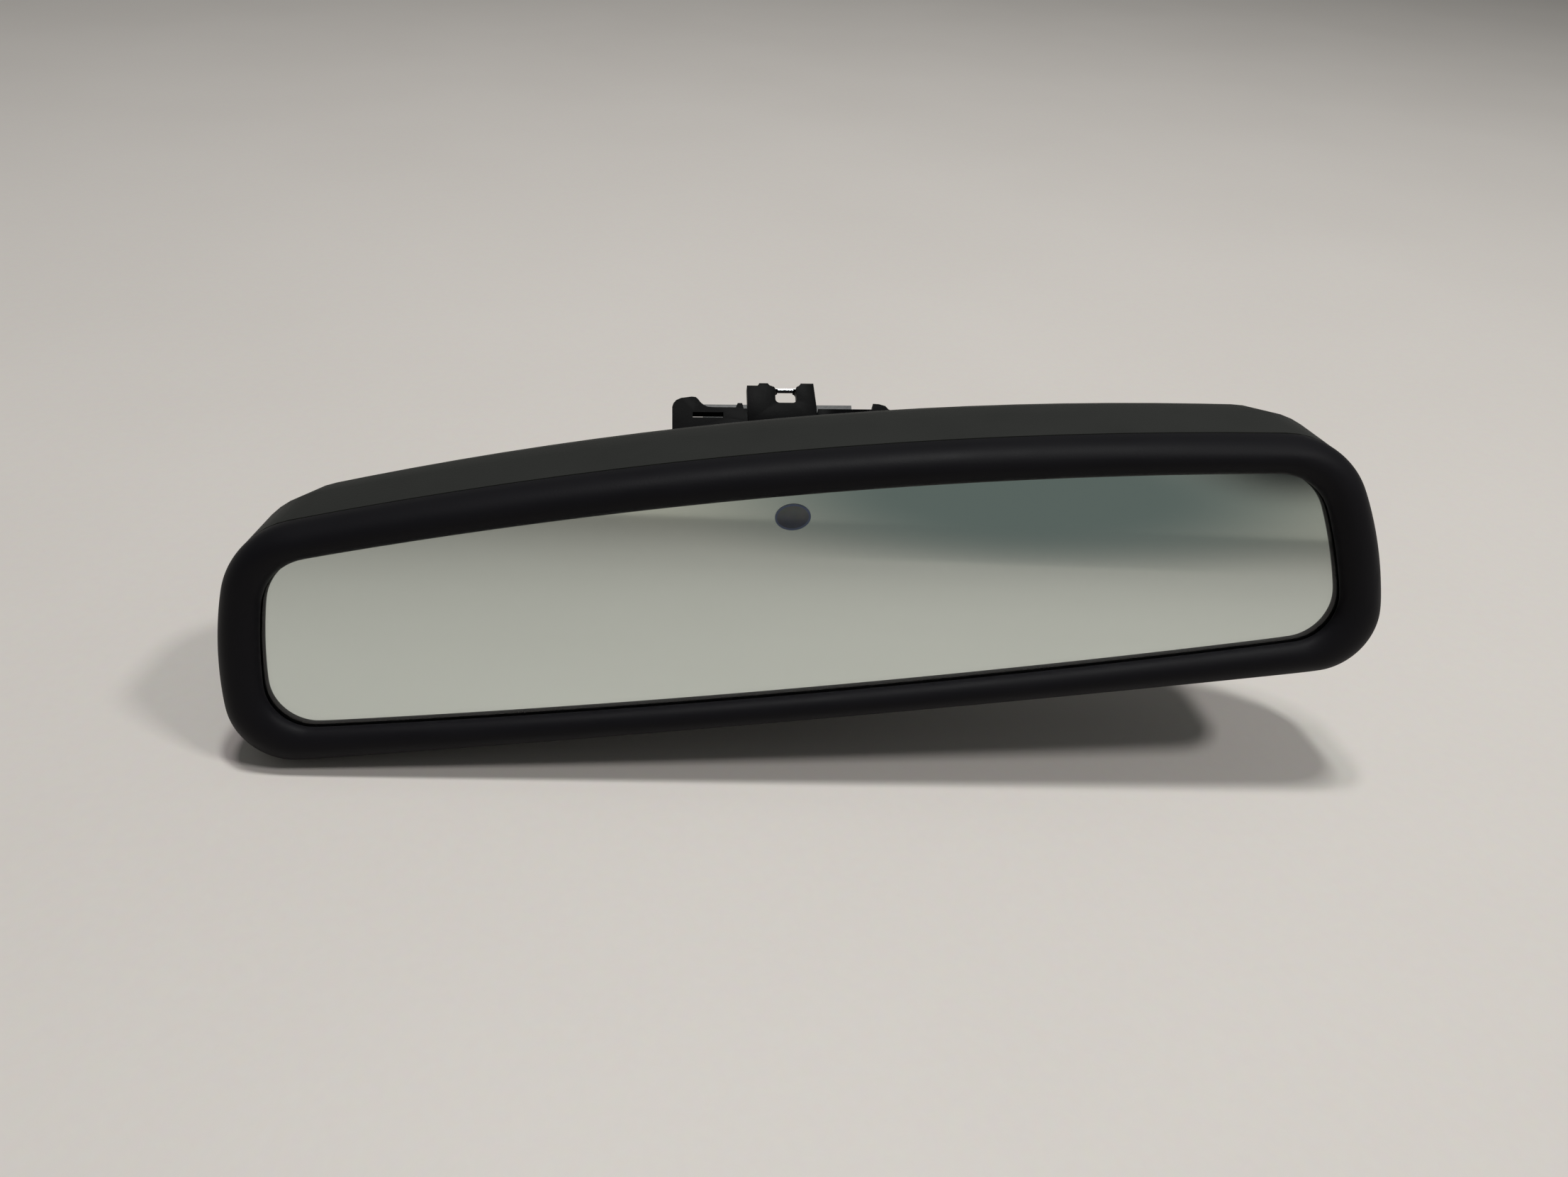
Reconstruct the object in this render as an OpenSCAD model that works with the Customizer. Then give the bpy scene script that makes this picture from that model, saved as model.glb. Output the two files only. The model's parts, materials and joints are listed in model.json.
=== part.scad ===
// Interior rearview mirror: an auto-dimming mirror head on a ball joint,
// carried by a short arm on a foot that slides onto a windscreen button.
// Origin: centre of the seat face that rests on the windscreen button.
// +X to the viewer's right, +Y away from the viewer, +Z up.

/* [Glass] */
// Width of the glass that shows inside the bezel
glass_w = 231; // [220:1:240]
// Height of the glass above its centre line, in the middle
glass_top = 22.7; // [22:0.1:24]
// Height of the glass below its centre line, in the middle
glass_bottom = 21.8; // [21:0.1:23]
// Thickness of each of the two glass plates
plate_t = 1.6; // [1.1:0.1:2]

/* [Outline] */
// Radius of the arched top edge
top_r = 1150; // [1100:50:1300]
// Radius of the bottom edge
bottom_r = 2500; // [2000:100:3000]
// Radius of the bowed ends
side_r = 110; // [100:1:120]
// Height of the centre of the end arcs
side_z = -22; // [-24:0.5:-20]
// Radius of the two upper corners
upper_corner_r = 13; // [12:0.5:14]
// Radius of the two lower corners
lower_corner_r = 9.5; // [8:0.5:11]

/* [Bezel and case] */
// Width of the bezel ring in the middle of its top
ring_w = 8.1; // [7.8:0.1:8.6]
// Width of the bezel ring in the middle of its bottom
ring_low_w = 6.9; // [6.6:0.1:7.4]
// Width of the bezel ring at its ends
ring_end_w = 9.5; // [9.2:0.1:10]
// How far the bezel stands in front of the glass
bezel_proud = 3.5; // [2:0.5:4.5]
// Depth of the rear case behind the bezel
case_depth = 32; // [30:1:38]
// Upward slope of the case towards its back
case_rise = 0.24; // [0.14:0.02:0.26]
// Wall of the rear case
wall = 2.2; // [1.8:0.1:2.4]

/* [Ball joint] */
// Radius of the ball
ball_r = 8; // [7.5:0.5:8]
// Radius of the neck behind the ball
neck_r = 4.5; // [4:0.25:4.5]
// How far the head can swing each way
swing = 18; // [10:1:18]

/* [Rest pose] */
// Backward lean of the head as it lies
head_lean = 15; // [5:1:20]
// Roll of the head as it lies
head_roll = 7.25; // [0:0.25:8]
// Turn of the head as it lies
head_yaw = -3.9; // [-6:0.1:6]

/* [Foot] */
// Rake of the windscreen from the vertical
screen_rake = 35; // [30:1:40]
// Overall width of the foot
foot_w = 54; // [50:1:60]
// Overall length of the foot along the windscreen
foot_len = 61; // [58:1:70]
// Width of the channel that takes the windscreen button
slot_w = 24; // [22:1:26]
// Depth of that channel
slot_d = 4.5; // [4.2:0.1:5]

/* [Hidden] */
$fn = 64;
EPS = 0.01;

// ---- outline of the glass: eight arcs, each tangent to the next ----

function perp(v) = [-v.y, v.x];
function bearing(from, to) = atan2(to.y - from.y, to.x - from.x);
function on_circle(c, r, a) = c + r * [cos(a), sin(a)];
function flip(p) = [-p.x, p.y];

// Point that lies ra from a and rb from b, on the side that s gives
function meet(a, ra, b, rb, s) =
    let (d = norm(b - a), u = (b - a) / d, k = (ra * ra - rb * rb + d * d) / (2 * d))
    a + k * u + s * sqrt(ra * ra - k * k) * perp(u);

// Half width, then heights above and below the centre line, then the radii of the top, bottom and ends,
// the height of the centre of the end arcs, and the radii of the upper and lower corners.
// Gives each arc as centre, radius, first angle, last angle and the steps where it is drawn as points.
function arcs(half_w, top, bottom, tr, br, sr, sz, ur, lr) =
    let (tc = [0, top - tr], bc = [0, br - bottom], sc = [half_w - sr, sz])
    let (uc = meet(tc, tr - ur, sc, sr - ur, -1), lc = meet(bc, br - lr, sc, sr - lr, 1))
    let (side_hi = bearing(sc, uc), side_lo = bearing(sc, lc), top_a = bearing(tc, uc), low_a = bearing(bc, lc))
    [
        [sc, sr, side_lo, side_hi, 5],
        [uc, ur, side_hi, top_a, 8],
        [tc, tr, top_a, 180 - top_a, 18],
        [flip(uc), ur, 180 - top_a, 180 - side_hi, 8],
        [flip(sc), sr, 180 - side_hi, 180 - side_lo, 5],
        [flip(lc), lr, 180 - side_lo, 180 - low_a, 8],
        [bc, br, 180 - low_a, 360 + low_a, 16],
        [lc, lr, 360 + low_a, 360 + side_lo, 8]
    ];

GLASS_ARCS = arcs(
    glass_w / 2, glass_top, glass_bottom, top_r, bottom_r, side_r, side_z, upper_corner_r, lower_corner_r
);

// The rim is the outer edge of the bezel: as the glass, but wider at the ends
RIM_ARCS = arcs(
    glass_w / 2 + ring_end_w, glass_top + ring_w, glass_bottom + ring_low_w, top_r - 150, 2.8 * bottom_r,
    side_r - 24, side_z + 4.5, upper_corner_r + 6.5, lower_corner_r + 4.2
);

// The points of an outline moved outwards by d
function along(arc_list, d) = [
    for (arc = arc_list)
        for (i = [0 : arc[4] - 1])
            on_circle(arc[0], arc[1] + d, arc[2] + (arc[3] - arc[2]) * i / arc[4])
];
function outline(d) = along(GLASS_ARCS, d);
function rim(d) = along(RIM_ARCS, d);

// Points on the way from the edge of the glass, t = 0, to the rim, t = 1
function between(t) =
    let (a = outline(0), b = rim(0))
    [for (i = [0 : len(a) - 1]) a[i] * (1 - t) + b[i] * t];

// A profile, drawn as (outward offset, depth), carried along one arc of the glass
module sweep(k) {
    arc = GLASS_ARCS[k];
    translate([arc[0].x, arc[0].y, 0])
        rotate([0, 0, arc[2]])
            rotate_extrude(angle = arc[3] - arc[2], $fn = 360)
                translate([arc[1], 0])
                    children();
}

// A flat plate on the outline, from depth z0 to z1
module plate(offset_out, z0, z1) {
    translate([0, 0, z0])
        linear_extrude(z1 - z0)
            polygon(outline(offset_out));
}

// ---- depths through the head, from the front face of the glass ----

gel_t = 0.2;
gel_z = plate_t;
rear_glass_z = gel_z + gel_t;
pad_z = rear_glass_z + plate_t;
pad_t = 0.8;
carrier_z = pad_z + pad_t;
carrier_t = 2.4;
board_z = carrier_z + carrier_t + 1.2;
board_t = 1.6;
board_back = board_z + board_t;
seam_z = 4.5;
seam_gap = 0.15;

glass_over = 2.2;       // how far the front glass runs under the bezel lip
rear_glass_over = 1.2;
seal_w = 1;
groove_over = 2.6;      // inner wall of the bezel's groove, outside both plates
flange_in = wall + 0.55;  // from the rim to the bezel flange that goes inside the case
flange_t_in = 1.2;
flange_len = 2;

ball_at = [0, 4, 25];   // ball centre in the head: across, up, depth
ball_pos = [0, -56, 8]; // ball centre in the row frame
liner_t = 0.96;
run_gap = 0.04;         // running clearance between the ball, the liners and the socket
inner_liner_r = ball_r + run_gap + liner_t;
outer_liner_r = inner_liner_r + run_gap + liner_t;
socket_r = outer_liner_r + run_gap;
socket_wall = 2.5;
flange_r = 19;
flange_t = 3;
mouth_r = 12.5;         // opening in the back of the case

window_at = [0.4, 17.7]; // light sensor behind the glass
window_r = 3.1;

boss_at = [[-85, 11], [85, 11], [-85, -11], [85, -11]];
boss_r = 3.6;
screw_r = 1.5;
pilot_r = 1.25;
head_r = 2.7;
head_t = 1.2;
screw_gap = 0.1;

board_w = 128;
board_h = 30;
board_c = [0, 7];
board_holes = [[-56, -4], [56, -4], [-56, 18], [56, 18]];

plug_c = [36, 8];       // connector on the back of the case
plug_w = 17;
plug_h = 9.5;
plug_wall = 1.2;
plug_z0 = board_back;
plug_z1 = 33.5;
pin_pitch = 2.2;

eye_c = [-36, 12];      // forward light sensor
eye_r = 3;
eye_z1 = 36.2;

// ---- placing ----

// Drawn as (across, up, depth); placed as (across, depth, up) in the leaned and rolled head
module in_head() {
    translate(ball_pos)
        rotate([0, 0, head_yaw])
            rotate([-head_lean, 0, 0])
                rotate([0, -head_roll, 0])
                    translate([0, -ball_at.z, -ball_at.y])
                        rotate([90, 0, 0])
                            mirror([0, 0, 1])
                                children();
}

// Ball centre of the head's section at the origin, z straight back out of the case
module at_ball() {
    translate(ball_at)
        children();
}

// Foot frame: x across, y down the windscreen, z out of the seat towards the windscreen
module on_foot() {
    rotate([-(90 - screen_rake), 0, 0])
        children();
}

// Ball centre in the foot frame
foot_ball = [
    0,
    ball_pos.y * sin(screen_rake) - ball_pos.z * cos(screen_rake),
    ball_pos.y * cos(screen_rake) + ball_pos.z * sin(screen_rake)
];

arm_flange_t = 4;
base_under = -7;
arm_root = [0, -10, base_under - arm_flange_t];    // in the foot frame
arm_len = norm(foot_ball - arm_root);

// The same point in the row frame
neck_foot = [
    0,
    arm_root.y * sin(screen_rake) + arm_root.z * cos(screen_rake),
    -arm_root.y * cos(screen_rake) + arm_root.z * sin(screen_rake)
];
neck_drop = atan2(ball_pos.z - neck_foot.z, neck_foot.y - ball_pos.y);

// ---- head: glass cell ----

// Half-round section of the bezel: the share of the way from the glass to the rim, and the depth
bezel_lip = 0.5;
crest = 0.42;
rim_z = 3.2;
function bezel_front() = concat(
    [for (a = [0 : 15 : 90])
        [crest - crest * cos(a), -bezel_lip - (bezel_proud - bezel_lip) * sin(a)]],
    [for (a = [75 : -15 : 0])
        [crest + (1 - crest) * cos(a), rim_z - (bezel_proud + rim_z) * sin(a)]]
);

// The closed loops of points that the bezel's skin runs through, each with its depth
function bezel_loops() = concat(
    [for (p = bezel_front()) [between(p.x), p.y]],
    [
        [rim(0), seam_z - 0.3], [rim(-0.3), seam_z],
        [rim(-flange_in), seam_z], [rim(-flange_in), seam_z + flange_len],
        [rim(-flange_in - flange_t_in), seam_z + flange_len], [rim(-flange_in - flange_t_in), seam_z],
        [outline(groove_over), seam_z], [outline(groove_over), 0], [outline(0), 0]
    ]
);

module front_bezel() {
    loops = bezel_loops();
    n = len(loops);
    m = len(loops[0][0]);
    points = [for (j = [0 : m - 1]) for (loop = loops) [loop[0][j].x, loop[0][j].y, loop[1]]];
    faces = [
        for (j = [0 : m - 1])
            for (k = [0 : n - 1])
                let (a = j * n + k, b = j * n + (k + 1) % n)
                let (c = (j + 1) % m * n + (k + 1) % n, d = (j + 1) % m * n + k)
                each [[a, b, c], [a, c, d]]
    ];
    color([0.10, 0.10, 0.11])
        in_head()
            polyhedron(points, faces, convexity = 8);
}

module front_glass() {
    color([0.78, 0.84, 0.82])
        in_head()
            plate(glass_over, EPS, plate_t);
}

module ec_gel() {
    color([0.62, 0.74, 0.70])
        in_head()
            plate(rear_glass_over - seal_w, gel_z, rear_glass_z);
}

module cell_seal() {
    color([0.30, 0.30, 0.28])
        in_head()
            difference() {
                plate(rear_glass_over, gel_z, rear_glass_z);
                plate(rear_glass_over - seal_w, gel_z - EPS, rear_glass_z + EPS);
            }
}

module rear_glass() {
    color([0.72, 0.78, 0.76])
        in_head()
            plate(rear_glass_over, rear_glass_z, pad_z);
}

bus_t = 0.3;
bus_over = rear_glass_over + 0.05;
tab_x = 22;
tab_w = 4;
lead_z = board_back + 0.02;
lead_top = 20;          // where the upper and the lower lead end on the board
lead_low = -6;
function top_edge(x, d) = glass_top - top_r + sqrt(pow(top_r + d, 2) - x * x);
function low_edge(x, d) = bottom_r - glass_bottom - sqrt(pow(bottom_r + d, 2) - x * x);

// Strip along one edge of the rear glass; its tab runs back past the carrier and its lead onto the board
module bus_clip(arc, tab_low, lead_from, lead_to) {
    sweep(arc)
        translate([bus_over, rear_glass_z + 0.1])
            square([bus_t, carrier_z - rear_glass_z - 0.15]);
    translate([tab_x - tab_w / 2, tab_low, carrier_z - 0.5])
        cube([tab_w, bus_t, lead_z + bus_t - carrier_z + 0.5]);
    translate([tab_x - tab_w / 2, lead_from, lead_z])
        cube([tab_w, lead_to - lead_from, bus_t]);
}

module upper_bus_clip() {
    color([0.80, 0.56, 0.36])
        in_head()
            bus_clip(2, top_edge(tab_x, bus_over), lead_top, top_edge(tab_x, bus_over) + bus_t);
}

module lower_bus_clip() {
    color([0.80, 0.56, 0.36])
        in_head()
            bus_clip(6, low_edge(tab_x, bus_over + bus_t), low_edge(tab_x, bus_over + bus_t), lead_low);
}

module window_hole(z0, z1, grow) {
    translate([window_at.x, window_at.y, z0])
        cylinder(r = window_r + grow, h = z1 - z0);
}

module glass_pad() {
    color([0.22, 0.22, 0.22])
        in_head()
            difference() {
                plate(-1, pad_z, carrier_z);
                window_hole(pad_z - 1, carrier_z + 1, 0.5);
            }
}

module carrier_plate() {
    color([0.16, 0.16, 0.17])
        in_head()
            difference() {
                union() {
                    plate(2.2, carrier_z, carrier_z + carrier_t);
                    for (p = board_holes)
                        translate([p.x, p.y, carrier_z])
                            cylinder(r = 2.8, h = board_z - carrier_z);
                }
                window_hole(carrier_z - 1, carrier_z + carrier_t + 1, 0.5);
                for (p = board_holes)
                    translate([p.x, p.y, carrier_z + 1])
                        cylinder(r = 0.9, h = 4);
                for (p = boss_at) {
                    translate([p.x, p.y, carrier_z - 1])
                        cylinder(r = screw_r + screw_gap, h = 5);
                    translate([p.x, p.y, carrier_z - 1])
                        cylinder(r = head_r + screw_gap, h = 1 + head_t);
                }
                for (s = [1, -1])
                    translate([tab_x - tab_w / 2 - 0.5, s > 0 ? glass_top + 0.3 : -glass_bottom - 4.3, carrier_z - 1])
                        cube([tab_w + 1, 4, 5]);
            }
}

// ---- head: electronics ----

module circuit_board() {
    color([0.10, 0.34, 0.18])
        in_head()
            difference() {
                translate([board_c.x - board_w / 2, board_c.y - board_h / 2, board_z])
                    cube([board_w, board_h, board_t]);
                for (p = board_holes)
                    translate([p.x, p.y, board_z - 1])
                        cylinder(r = 1.1, h = board_t + 2);
            }
}

// Parts on the board: centre across, centre up, width, height, thickness
board_chips = [
    [-22, -1, 9, 9, 1.4], [20, 15, 6, 5, 1.4], [-46, 2, 7, 6, 2], [-26, 14, 3.2, 1.6, 0.9],
    [-20, 14, 3.2, 1.6, 0.9], [52, 8, 5, 4, 1.2], [18, -2, 4, 4, 1.2]
];
board_cans = [[-46, 13, 3.1, 6], [24, 3, 2.6, 5]];

module board_parts() {
    color([0.20, 0.20, 0.22])
        in_head() {
            for (c = board_chips)
                translate([c[0] - c[2] / 2, c[1] - c[3] / 2, board_back])
                    cube([c[2], c[3], c[4]]);
            for (c = board_cans)
                translate([c[0], c[1], board_back])
                    cylinder(r = c[2], h = c[3]);
        }
}

module glare_light_pipe() {
    color([0.55, 0.60, 0.66])
        in_head() {
            translate([window_at.x, window_at.y, pad_z])
                cylinder(r = window_r, h = board_z - pad_z);
        }
}

module ambient_lens() {
    color([0.70, 0.72, 0.74])
        in_head()
            union() {
                translate([eye_c.x, eye_c.y, board_back])
                    cylinder(r = 2, h = eye_z1 - 4 - board_back);
                translate([eye_c.x, eye_c.y, eye_z1 - 4])
                    cylinder(r = eye_r, h = 3);
            }
}

module connector_shell() {
    color([0.14, 0.14, 0.15])
        in_head()
            difference() {
                translate([plug_c.x - plug_w / 2, plug_c.y - plug_h / 2, plug_z0])
                    cube([plug_w, plug_h, plug_z1 - plug_z0]);
                translate([plug_c.x - plug_w / 2 + plug_wall, plug_c.y - plug_h / 2 + plug_wall, plug_z1 - 12])
                    cube([plug_w - 2 * plug_wall, plug_h - 2 * plug_wall, 13]);
                for (p = pin_places())
                    translate([p.x - 0.35, p.y - 0.35, plug_z0 - 1])
                        cube([0.7, 0.7, plug_z1 - plug_z0]);
                translate([plug_c.x - 2, plug_c.y + plug_h / 2 - plug_wall - EPS, plug_z1 - 4])
                    cube([4, plug_wall + 1, 5]);
            }
}

function pin_places() = [
    for (i = [-2 : 2])
        for (j = [-1, 1])
            [plug_c.x + i * pin_pitch, plug_c.y + j * pin_pitch / 2]
];

module connector_pins() {
    color([0.85, 0.72, 0.40])
        in_head()
            for (p = pin_places())
                translate([p.x - 0.32, p.y - 0.32, plug_z0 + 0.1])
                    cube([0.64, 0.64, plug_z1 - plug_z0 - 8]);
}

// ---- head: rear case ----

dome_steps = 9;
dome_x = 3;             // how square the case is seen from above
dome_z = 3.5;           // how square the case is seen from the end

// One closed form of the case, moved inwards by inset; start is where it begins
function dome_scale(u, n) = pow(1 - pow(u, n), 1 / n);
function dome_ring(inset, s, u) = [
    for (p = rim(-inset))
        [p.x * dome_scale(u, dome_x), (p.y + case_rise * max(s, 0)) * dome_scale(u, dome_z), seam_z + seam_gap + s]
];
function dome_depths(depth) = [
    for (i = [0 : dome_steps])
        let (u = pow(sin(83 * i / dome_steps), 2 / dome_z))
        [depth * u, u]
];
function dome_faces(n, rings) = concat(
    [
        for (k = [0 : rings - 2])
            for (i = [0 : n - 1])
                let (a = k * n + i, b = k * n + (i + 1) % n)
                each [[a, b + n, b], [a, a + n, b + n]]
    ],
    [[for (i = [0 : n - 1]) i]],
    [[for (i = [n - 1 : -1 : 0]) (rings - 1) * n + i]]
);

module case_form(inset, start) {
    steps = concat([[start, 0]], [for (d = dome_depths(case_depth - inset)) if (d[0] > 0) d]);
    points = [for (d = steps) each dome_ring(inset, d[0], d[1])];
    n = len(outline(0));
    polyhedron(points, dome_faces(n, len(steps)), convexity = 6);
}

boss_z0 = carrier_z + carrier_t + 0.1;
post_at = [for (a = [90, 210, 330]) on_circle([ball_at.x, ball_at.y], 16, a)];

module rear_case() {
    color([0.17, 0.18, 0.17])
        in_head()
            difference() {
                union() {
                    difference() {
                        case_form(0, 0);
                        case_form(wall, -1);
                    }
                    intersection() {
                        union() {
                            for (p = boss_at)
                                translate([p.x, p.y, boss_z0])
                                    cylinder(r = boss_r, h = 40);
                            for (p = post_at)
                                translate([p.x, p.y, ball_at.z + flange_t + 0.05])
                                    cylinder(r = 3, h = 20);
                        }
                        case_form(wall / 2, -1);
                    }
                }
                for (p = boss_at)
                    translate([p.x, p.y, boss_z0 - 1])
                        cylinder(r = pilot_r, h = 15);
                for (p = post_at)
                    translate([p.x, p.y, ball_at.z])
                        cylinder(r = pilot_r, h = 8.5);
                at_ball() {
                    cylinder(r = mouth_r, h = 30);
                    translate([0, 0, 9.5])
                        cylinder(r1 = mouth_r, r2 = mouth_r + 4, h = 4);
                }
                translate([plug_c.x - plug_w / 2 - 0.4, plug_c.y - plug_h / 2 - 0.4, 25])
                    cube([plug_w + 0.8, plug_h + 0.8, 20]);
                translate([eye_c.x, eye_c.y, 25])
                    cylinder(r = eye_r + 0.1, h = 20);
            }
}

// Pan-head screw along z: the head's outer face at 0, the shank towards +z
module screw(shank_r, shank_len, cap_r, cap_t) {
    difference() {
        union() {
            cylinder(r = cap_r, h = cap_t);
            cylinder(r = shank_r, h = cap_t + shank_len);
        }
        translate([0, 0, -EPS])
            cylinder(r = cap_r * 0.45, h = cap_t * 0.7, $fn = 6);
    }
}

module case_screws() {
    color([0.62, 0.63, 0.65])
        in_head()
            for (p = boss_at)
                translate([p.x, p.y, carrier_z + 0.02])
                    screw(pilot_r - 0.02, 12, head_r, head_t - 0.05);
}

module board_screws() {
    color([0.62, 0.63, 0.65])
        in_head()
            for (p = board_holes)
                translate([p.x, p.y, board_back + 1])
                    mirror([0, 0, 1])
                        screw(0.88, 4, 2, 1);
}

// ---- head: ball socket ----

module cone_out(half_angle) {
    cylinder(r1 = 0, r2 = 20 * tan(half_angle), h = 20);
}

opening_a = asin(neck_r / (ball_r + run_gap)) + 1.42 * swing;

module socket_cup() {
    color([0.30, 0.31, 0.33])
        in_head()
            at_ball()
                difference() {
                    union() {
                        intersection() {
                            sphere(r = socket_r + socket_wall);
                            translate([0, 0, -20])
                                cylinder(r = 20, h = 20);
                        }
                        translate([0, 0, -flange_t])
                            cylinder(r = flange_r, h = flange_t);
                        translate([0, 0, -13.5])
                            cylinder(r = 9, h = 6);
                    }
                    sphere(r = socket_r);
                    translate([0, 0, -14])
                        cylinder(r = 7, h = 7);
                    for (p = post_at)
                        translate([p.x - ball_at.x, p.y - ball_at.y, -5])
                            cylinder(r = screw_r + screw_gap, h = 6);
                }
}

module socket_ring() {
    color([0.24, 0.25, 0.27])
        in_head()
            at_ball()
                difference() {
                    union() {
                        intersection() {
                            sphere(r = socket_r + socket_wall);
                            translate([0, 0, EPS])
                                cylinder(r = 20, h = 6.5);
                        }
                        translate([0, 0, EPS])
                            cylinder(r = flange_r, h = flange_t);
                    }
                    sphere(r = socket_r);
                    cone_out(opening_a);
                    for (p = post_at)
                        translate([p.x - ball_at.x, p.y - ball_at.y, -1])
                            cylinder(r = screw_r + screw_gap, h = 6);
                }
}

module socket_screws() {
    color([0.62, 0.63, 0.65])
        in_head()
            for (p = post_at)
                translate([p.x, p.y, ball_at.z - flange_t - head_t - 0.02])
                    screw(pilot_r - 0.02, 11, head_r, head_t);
}

// Disc spring that loads the liners from the front
module pressure_spring() {
    color([0.70, 0.71, 0.73])
        in_head()
            at_ball()
                translate([0, 0, -12.2])
                    rotate_extrude()
                        polygon([[3.2, 1.2], [6.6, 0], [6.7, 0.5], [3.3, 1.75]]);
}

module spring_cap() {
    color([0.34, 0.35, 0.37])
        in_head()
            at_ball()
                translate([0, 0, -13.5])
                    difference() {
                        cylinder(r = 6.95, h = 1.2);
                        translate([0, 0, -1])
                            cylinder(r = 2, h = 3, $fn = 6);
                    }
}

module liner(inner_r, outer_r) {
    difference() {
        sphere(r = outer_r);
        sphere(r = inner_r);
        cone_out(opening_a);
        translate([0, 0, -20])
            cylinder(r = 2.2, h = 20);
        for (a = [0, 60, 120])
            rotate([0, 0, a])
                translate([-20, -0.4, -2])
                    cube([40, 0.8, 20]);
    }
}

// Slips inside the socket: the head rolls on it, and it tilts on the inner liner
module outer_liner() {
    color([0.86, 0.85, 0.80])
        in_head()
            at_ball()
                liner(inner_liner_r + run_gap, outer_liner_r);
}

// Slips on the ball: it only turns from side to side
module inner_liner() {
    color([0.90, 0.89, 0.84])
        translate(ball_pos)
            rotate([0, 0, head_yaw])
                rotate([-neck_drop, 0, 0])
                    rotate([-90, 0, 0])
                        liner(ball_r + run_gap, inner_liner_r);
}

// ---- foot ----

collar_at = 15;         // from the ball centre to the end of the arm
stud_bore_r = 3.5;
stud_depth = 14;
pin_r = 1.25;

// Ball centre at the origin, +z along the neck towards the foot
module at_neck() {
    translate(ball_pos)
        rotate([-neck_drop, 0, 0])
            rotate([-90, 0, 0])
                children();
}

module ball_stud() {
    color([0.66, 0.67, 0.69])
        at_neck()
            difference() {
                union() {
                    sphere(r = ball_r);
                    cylinder(r = neck_r, h = collar_at - EPS);
                    cylinder(r = stud_bore_r - 0.03, h = collar_at + stud_depth - 1);
                }
                translate([-20, 0, collar_at + 6])
                    rotate([0, 90, 0])
                        cylinder(r = pin_r, h = 40);
            }
}

module stud_pin() {
    color([0.72, 0.73, 0.75])
        at_neck()
            translate([-6, 0, collar_at + 6])
                rotate([0, 90, 0])
                    cylinder(r = pin_r - 0.02, h = 12);
}

base_w = 38;
base_top = -21;         // upper end of the base, along the windscreen
base_low = 27;
flange_x = 13;
flange_y0 = -20.5;
flange_y1 = 12;
base_screw_at = [[-10.2, -17.5], [10.2, -17.5], [-10.2, 8.5], [10.2, 8.5]];

module arm() {
    color([0.16, 0.16, 0.17])
        difference() {
            union() {
                on_foot()
                    translate([-flange_x, flange_y0, base_under - arm_flange_t])
                        cube([2 * flange_x, flange_y1 - flange_y0, arm_flange_t - EPS]);
                intersection() {
                    at_neck()
                        translate([0, 0, collar_at])
                            cylinder(r1 = 6.2, r2 = 9.5, h = arm_len - collar_at + 6);
                    on_foot()
                        translate([-40, -60, base_under - arm_flange_t - 60 + 1])
                            cube([80, 120, 60]);
                }
            }
            at_neck() {
                translate([0, 0, collar_at - 1])
                    cylinder(r = stud_bore_r, h = stud_depth + 1);
                translate([-20, 0, collar_at + 6])
                    rotate([0, 90, 0])
                        cylinder(r = pin_r, h = 40);
            }
            on_foot()
                for (p = base_screw_at)
                    translate([p.x, p.y, base_under - 20])
                        cylinder(r = screw_r + screw_gap, h = 30);
        }
}

lip_over = 2;           // how far each side lip reaches over the button
lip_t = 1.5;
spring_w = 10;
spring_t = 0.55;
spring_in = 1.9;        // depth of the recess that the spring lies in
spring_screw_y = 12;

module foot_base() {
    color([0.56, 0.57, 0.58])
        on_foot()
            difference() {
                translate([-base_w / 2, base_top, base_under])
                    cube([base_w, base_low - base_top, slot_d - base_under]);
                translate([-slot_w / 2, base_top + 7, 0])
                    cube([slot_w, 60, slot_d - lip_t]);
                translate([-slot_w / 2 + lip_over, base_top + 7, 0])
                    cube([slot_w - 2 * lip_over, 60, slot_d + 1]);
                translate([-spring_w / 2 - 0.2, 8, -spring_in])
                    cube([spring_w + 0.4, base_low, 3]);
                translate([0, spring_screw_y, -5.5])
                    cylinder(r = 1.2, h = 6);
                for (p = base_screw_at)
                    translate([p.x, p.y, base_under - 1])
                        cylinder(r = pilot_r, h = 6);
                for (s = [-1, 1])
                    translate([s * 16, 18, base_under - 1])
                        cylinder(r = pilot_r, h = 7);
            }
}

module base_screws() {
    color([0.62, 0.63, 0.65])
        on_foot()
            for (p = base_screw_at)
                translate([p.x, p.y, base_under - arm_flange_t - head_t - 0.02])
                    screw(pilot_r - 0.02, arm_flange_t + 4.5, head_r, head_t);
}

// Flat spring in the channel floor, with a tongue that locks behind the button
module retaining_spring() {
    color([0.74, 0.75, 0.77])
        on_foot()
            difference() {
                translate([-spring_w / 2, 0, 0.05 - spring_in])
                    rotate([90, 0, 90])
                        linear_extrude(spring_w)
                            polygon([
                                [8.1, 0], [17, 0], [24, 3.1], [25.4, 2.05],
                                [25.9, 2.5], [24.2, 3.8], [16.9, spring_t], [8.1, spring_t]
                            ]);
                translate([0, spring_screw_y, -3])
                    cylinder(r = 1.3, h = 4);
            }
}

module spring_screw() {
    color([0.62, 0.63, 0.65])
        on_foot()
            translate([0, spring_screw_y, spring_t + 0.97 - spring_in])
                mirror([0, 0, 1])
                    screw(1.15, 4, 2.2, 0.9);
}

frame_wall = 1.8;
frame_floor = -9;
frame_top = -1.5;
frame_y0 = -30;         // upper end of the foot
wing_wall = 2.4;

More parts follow.
